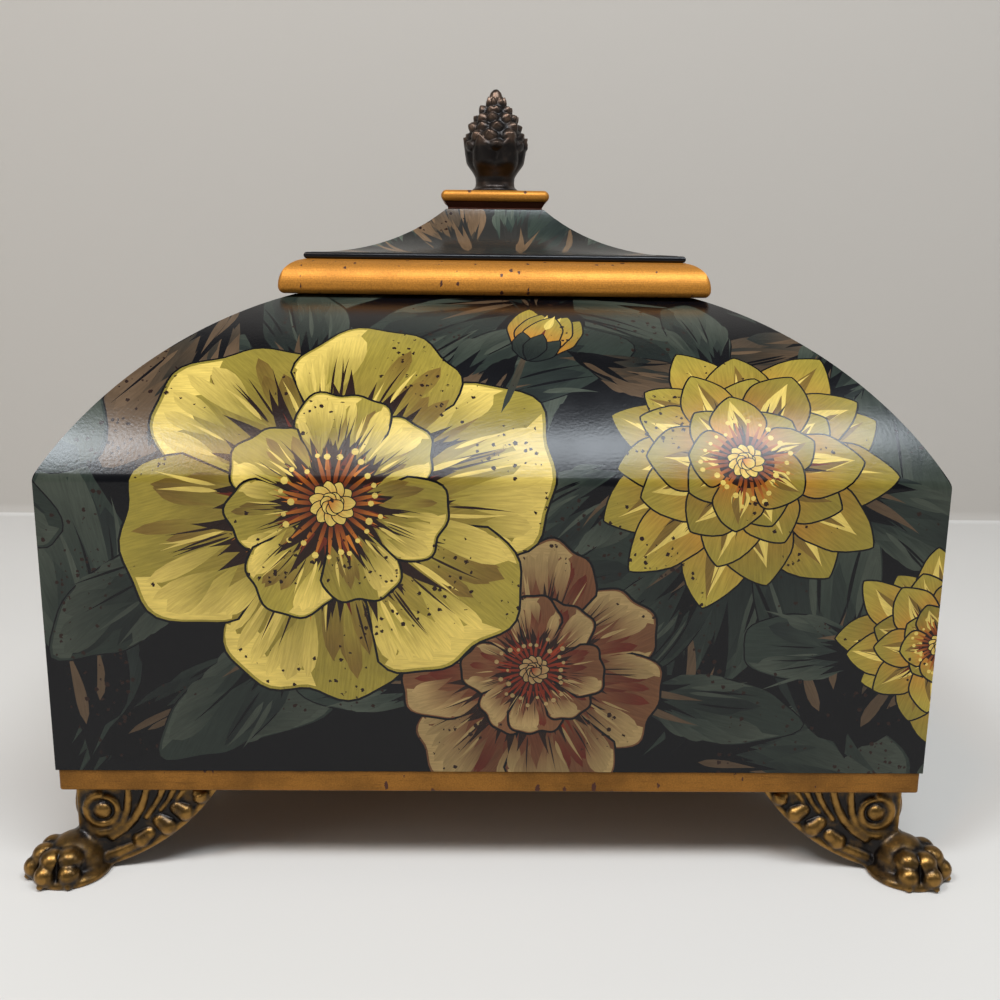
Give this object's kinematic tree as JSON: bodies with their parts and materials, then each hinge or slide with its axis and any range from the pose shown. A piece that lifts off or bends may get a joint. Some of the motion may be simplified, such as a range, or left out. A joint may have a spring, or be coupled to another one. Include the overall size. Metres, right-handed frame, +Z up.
{
  "type": "casket",
  "caption": "Hip-roofed lacquered keepsake casket on cast paw feet, with a lift-off pagoda lid and a pine cone knob.",
  "frame": {"origin": "on the ground under the middle of the casket", "axes": "+Z up, the front faces -Y, +X to the right as seen from the front"},
  "size_m": [0.3318, 0.2808, 0.2877],
  "materials": {
    "painted_lacquer": "hand painted flowers and leaves under satin black lacquer",
    "black_lacquer": "satin black lacquer",
    "plinth_gilding": "dull antique gold paint",
    "moulding_gilding": "bright antique gold paint with dark specks",
    "antique_brass": "cast, antiqued nearly black in the recesses",
    "dark_bronze": "cast, dark patina worn on the scales",
    "bare_wood": "plain sanded wood",
    "felt": "black wool felt",
    "steel": "zinc plated"
  },
  "bodies": {
    "casket": {"front_wall": "painted_lacquer", "right_wall": "painted_lacquer", "back_wall": "painted_lacquer", "left_wall": "painted_lacquer", "front_haunch": "painted_lacquer", "right_haunch": "painted_lacquer", "back_haunch": "painted_lacquer", "left_haunch": "painted_lacquer", "front_mouth_rail": "painted_lacquer", "right_mouth_rail": "painted_lacquer", "back_mouth_rail": "painted_lacquer", "left_mouth_rail": "painted_lacquer", "front_plinth": "plinth_gilding", "right_plinth": "plinth_gilding", "back_plinth": "plinth_gilding", "left_plinth": "plinth_gilding", "floor_board": "bare_wood", "floor_felt": "felt", "front_left_glue_block": "bare_wood", "front_right_glue_block": "bare_wood", "back_right_glue_block": "bare_wood", "back_left_glue_block": "bare_wood", "front_left_foot": "antique_brass", "front_right_foot": "antique_brass", "back_right_foot": "antique_brass", "back_left_foot": "antique_brass", "foot_screws": "steel"},
    "lid": {"lid_board": "black_lacquer", "front_lid_moulding": "moulding_gilding", "right_lid_moulding": "moulding_gilding", "back_lid_moulding": "moulding_gilding", "left_lid_moulding": "moulding_gilding", "front_lid_lip": "black_lacquer", "right_lid_lip": "black_lacquer", "back_lid_lip": "black_lacquer", "left_lid_lip": "black_lacquer", "lid_bead": "black_lacquer", "lid_canopy": "painted_lacquer", "lid_cap": "moulding_gilding", "pine_cone_knob": "dark_bronze", "knob_stud": "steel", "knob_washer": "steel", "knob_nut": "steel"}
  },
  "joints": [
    {"name": "lid_lift", "type": "slide", "parent": "casket", "child": "lid", "axis": [0, 0, 1], "range_m": [0, 0.09]}
  ]
}
